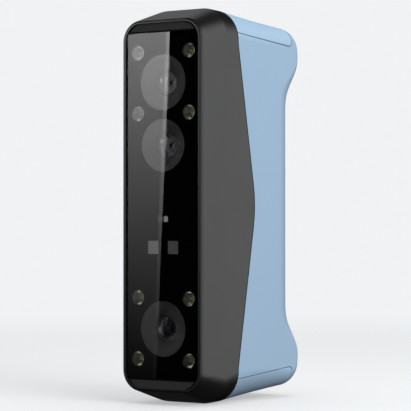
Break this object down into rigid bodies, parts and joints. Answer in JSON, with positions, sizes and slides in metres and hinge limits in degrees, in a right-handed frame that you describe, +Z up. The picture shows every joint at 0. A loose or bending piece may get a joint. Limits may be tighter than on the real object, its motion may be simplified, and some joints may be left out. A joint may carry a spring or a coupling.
{
  "type": "handheld three-d scanner",
  "caption": "Upright handheld three-d scanner: dark casing with a glass window over cameras and lights, blue waisted rear grip, push buttons behind, tripod thread below.",
  "frame": {"origin": "on the ground under the middle of the rectangle that the scanner covers from above", "axes": "+Z up along the body, +X across the width, -Y out of the glass front"},
  "size_m": [0.05, 0.091, 0.2014],
  "materials": {
    "casing": "satin",
    "bezel": "satin",
    "grip": "satin",
    "cap": "satin",
    "gasket": "matte",
    "window": "polished",
    "print": "matte",
    "frame_metal": "bead blasted",
    "spreader_metal": "satin",
    "screw_steel": "dark",
    "baffle": "matte",
    "barrel": "black satin",
    "lens": "coated",
    "sensor": "satin",
    "circuit": "solder mask",
    "cup": "polished",
    "lamp": "clear moulded",
    "projector": "black satin",
    "eye": "polished",
    "chip": "moulded",
    "ribbon": "film",
    "pad": "soft",
    "standoff": "turned",
    "battery": "wrapped",
    "tray": "moulded",
    "panel": "satin",
    "button": "soft touch",
    "light_pipe": "frosted",
    "switch": "moulded",
    "contact_metal": "plated",
    "insert_brass": "turned"
  },
  "bodies": {
    "scanner_body": {"battery_pack": "battery", "battery_tray": "tray", "board_chips": "chip", "board_standoffs": "standoff", "bottom_cap": "cap", "button_board": "circuit", "button_panel": "panel", "button_switches": "switch", "camera_ribbons": "ribbon", "camera_screws": "screw_steel", "case_screws": "screw_steel", "frame_screws": "screw_steel", "front_bezel": "bezel", "front_casing": "casing", "grip_shell": "grip", "heat_spreader": "spreader_metal", "image_sensors": "sensor", "inlet_board": "circuit", "inlet_receptacle": "contact_metal", "left_projector": "projector", "lower_baffle": "baffle", "lower_camera_board": "circuit", "lower_front_lens": "lens", "lower_lamps": "lamp", "lower_lens_barrel": "barrel", "lower_lens_holder": "frame_metal", "lower_light_board": "circuit", "lower_light_cups": "cup", "main_board": "circuit", "middle_baffle": "baffle", "middle_camera_board": "circuit", "middle_front_lens": "lens", "middle_lens_barrel": "barrel", "middle_lens_holder": "frame_metal", "optical_frame": "frame_metal", "parting_gasket": "gasket", "projector_board": "circuit", "projector_windows": "eye", "range_sensor": "projector", "range_sensor_eyes": "eye", "right_projector": "projector", "status_light": "light_pipe", "thermal_pad": "pad", "top_cap": "cap", "tripod_insert": "insert_brass", "upper_baffle": "baffle", "upper_camera_board": "circuit", "upper_front_lens": "lens", "upper_lamps": "lamp", "upper_lens_barrel": "barrel", "upper_lens_holder": "frame_metal", "upper_light_board": "circuit", "upper_light_cups": "cup", "window_glass": "window", "window_mask": "print"},
    "plus_button": {"plus_button": "button"},
    "scan_button": {"scan_button": "button"},
    "minus_button": {"minus_button": "button"}
  },
  "joints": [
    {"name": "plus_press", "type": "slide", "parent": "scanner_body", "child": "plus_button", "axis": [0, -1, 0], "range_m": [0, 0.0005], "stiffness_N_per_m": 800, "springref_m": -0.0005},
    {"name": "scan_press", "type": "slide", "parent": "scanner_body", "child": "scan_button", "axis": [0, -1, 0], "range_m": [0, 0.0005], "stiffness_N_per_m": 800, "springref_m": -0.0005},
    {"name": "minus_press", "type": "slide", "parent": "scanner_body", "child": "minus_button", "axis": [0, -1, 0], "range_m": [0, 0.0005], "stiffness_N_per_m": 800, "springref_m": -0.0005}
  ]
}
